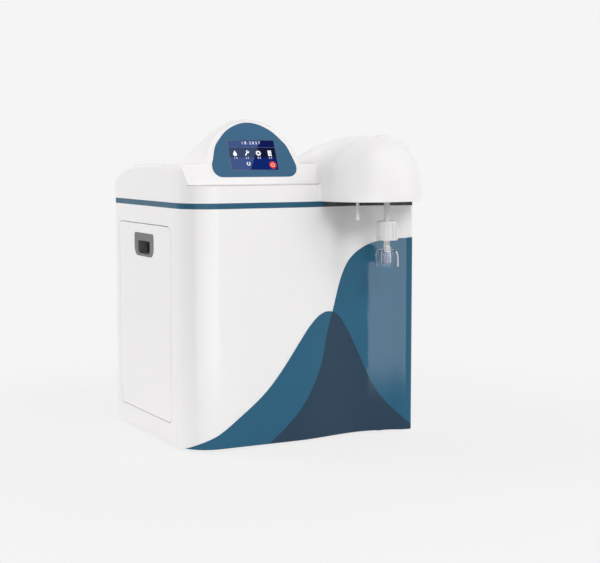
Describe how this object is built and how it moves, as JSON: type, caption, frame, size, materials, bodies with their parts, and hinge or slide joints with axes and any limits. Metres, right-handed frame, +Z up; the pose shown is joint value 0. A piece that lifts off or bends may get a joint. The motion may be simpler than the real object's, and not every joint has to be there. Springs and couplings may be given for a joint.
{
  "type": "ultrapure water system",
  "caption": "Bench-top water purifier: cabinet with a waved front, side service doors, a domed dispensing head with filter and bell, and an arched control pod.",
  "frame": {"origin": "under the middle of the whole outline, at bench level", "axes": "+Z up, the front with the screen faces -Y, +X to the right seen from the front"},
  "size_m": [0.45, 0.47, 0.5834],
  "materials": {
    "white": "satin moulded",
    "blue_band": "satin",
    "blue_panel": "satin",
    "screen": "polished",
    "module": "matt",
    "film_blue": "satin film",
    "film_navy": "satin film",
    "grey_plastic": "fine texture",
    "black_plastic": "fine texture",
    "rocker": "gloss",
    "rubber": "matt",
    "sheet_steel": "powder coat",
    "bright_steel": "brushed",
    "fitting_white": "satin",
    "clear_plastic": "clear moulded",
    "fitting_grey": "satin",
    "collet": "satin",
    "circuit": "solder mask"
  },
  "bodies": {
    "cabinet": {"band_frame": "blue_band", "base_tray": "sheet_steel", "board_standoffs": "bright_steel", "booster_pump_foot": "sheet_steel", "booster_pump_head": "fitting_grey", "booster_pump_motor": "bright_steel", "cartridge_manifold": "fitting_white", "circulation_pump_foot": "sheet_steel", "circulation_pump_head": "fitting_grey", "circulation_pump_motor": "bright_steel", "conductivity_cell": "fitting_white", "control_board": "circuit", "control_panel": "blue_panel", "dispense_valve": "black_plastic", "display_module": "module", "divider": "sheet_steel", "door_strikes": "bright_steel", "feet": "rubber", "film_hill": "film_blue", "film_overlap": "film_navy", "film_swell": "film_blue", "front_shell": "white", "head_plate": "black_plastic", "hinge_pins": "bright_steel", "lamp_clamps": "bright_steel", "lamp_housing": "bright_steel", "mains_inlet": "black_plastic", "manifold_bracket": "sheet_steel", "membrane_clips": "fitting_white", "membrane_housings": "fitting_white", "outlet_stem": "fitting_white", "port_bodies": "fitting_grey", "port_nuts": "fitting_grey", "power_supply": "sheet_steel", "product_tube": "fitting_white", "rear_panel": "sheet_steel", "rear_screws": "bright_steel", "screen_glass": "screen", "solenoid_valves": "black_plastic", "switch_frame": "black_plastic", "top_cover": "white", "top_deck": "sheet_steel"},
    "left_door": {"left_door": "white", "left_pull": "grey_plastic", "left_door_magnets": "bright_steel"},
    "right_door": {"right_door": "white", "right_pull": "grey_plastic", "right_door_magnets": "bright_steel"},
    "pretreatment_cartridge": {"pretreatment_cartridge": "fitting_white"},
    "carbon_cartridge": {"carbon_cartridge": "fitting_white"},
    "polishing_cartridge": {"polishing_cartridge": "fitting_white"},
    "outlet_filter": {"outlet_filter": "fitting_white"},
    "outlet_bell": {"outlet_bell": "clear_plastic"},
    "power_rocker": {"power_rocker": "rocker"},
    "feed_collet": {"feed_collet": "collet"},
    "tank_collet": {"tank_collet": "collet"},
    "product_collet": {"product_collet": "collet"},
    "drain_collet": {"drain_collet": "collet"}
  },
  "joints": [
    {"name": "left_door_hinge", "type": "hinge", "parent": "cabinet", "child": "left_door", "pos_m": [-0.219, 0.067, 0.062], "axis": [0, -1, 0], "range_deg": [0, 90]},
    {"name": "right_door_hinge", "type": "hinge", "parent": "cabinet", "child": "right_door", "pos_m": [0.219, 0.067, 0.062], "axis": [0, 1, 0], "range_deg": [0, 90]},
    {"name": "pretreatment_twist", "type": "hinge", "parent": "cabinet", "child": "pretreatment_cartridge", "pos_m": [-0.163, -0.017, 0.306], "axis": [0, 0, 1], "range_deg": [0, 90]},
    {"name": "carbon_twist", "type": "hinge", "parent": "cabinet", "child": "carbon_cartridge", "pos_m": [-0.163, 0.067, 0.306], "axis": [0, 0, 1], "range_deg": [0, 90]},
    {"name": "polishing_twist", "type": "hinge", "parent": "cabinet", "child": "polishing_cartridge", "pos_m": [-0.163, 0.151, 0.306], "axis": [0, 0, 1], "range_deg": [0, 90]},
    {"name": "filter_pull", "type": "slide", "parent": "cabinet", "child": "outlet_filter", "axis": [0, 0, -1], "range_m": [0, 0.014]},
    {"name": "bell_pull", "type": "slide", "parent": "outlet_filter", "child": "outlet_bell", "axis": [0, 0, -1], "range_m": [0, 0.012]},
    {"name": "rocker_tilt", "type": "hinge", "parent": "cabinet", "child": "power_rocker", "pos_m": [0.157, 0.209, 0.146], "axis": [-1, 0, 0], "range_deg": [0, 14]},
    {"name": "feed_release", "type": "slide", "parent": "cabinet", "child": "feed_collet", "axis": [0, -1, 0], "range_m": [0, 0.0015]},
    {"name": "tank_release", "type": "slide", "parent": "cabinet", "child": "tank_collet", "axis": [0, -1, 0], "range_m": [0, 0.0015]},
    {"name": "product_release", "type": "slide", "parent": "cabinet", "child": "product_collet", "axis": [0, -1, 0], "range_m": [0, 0.0015]},
    {"name": "drain_release", "type": "slide", "parent": "cabinet", "child": "drain_collet", "axis": [0, -1, 0], "range_m": [0, 0.0015]}
  ]
}
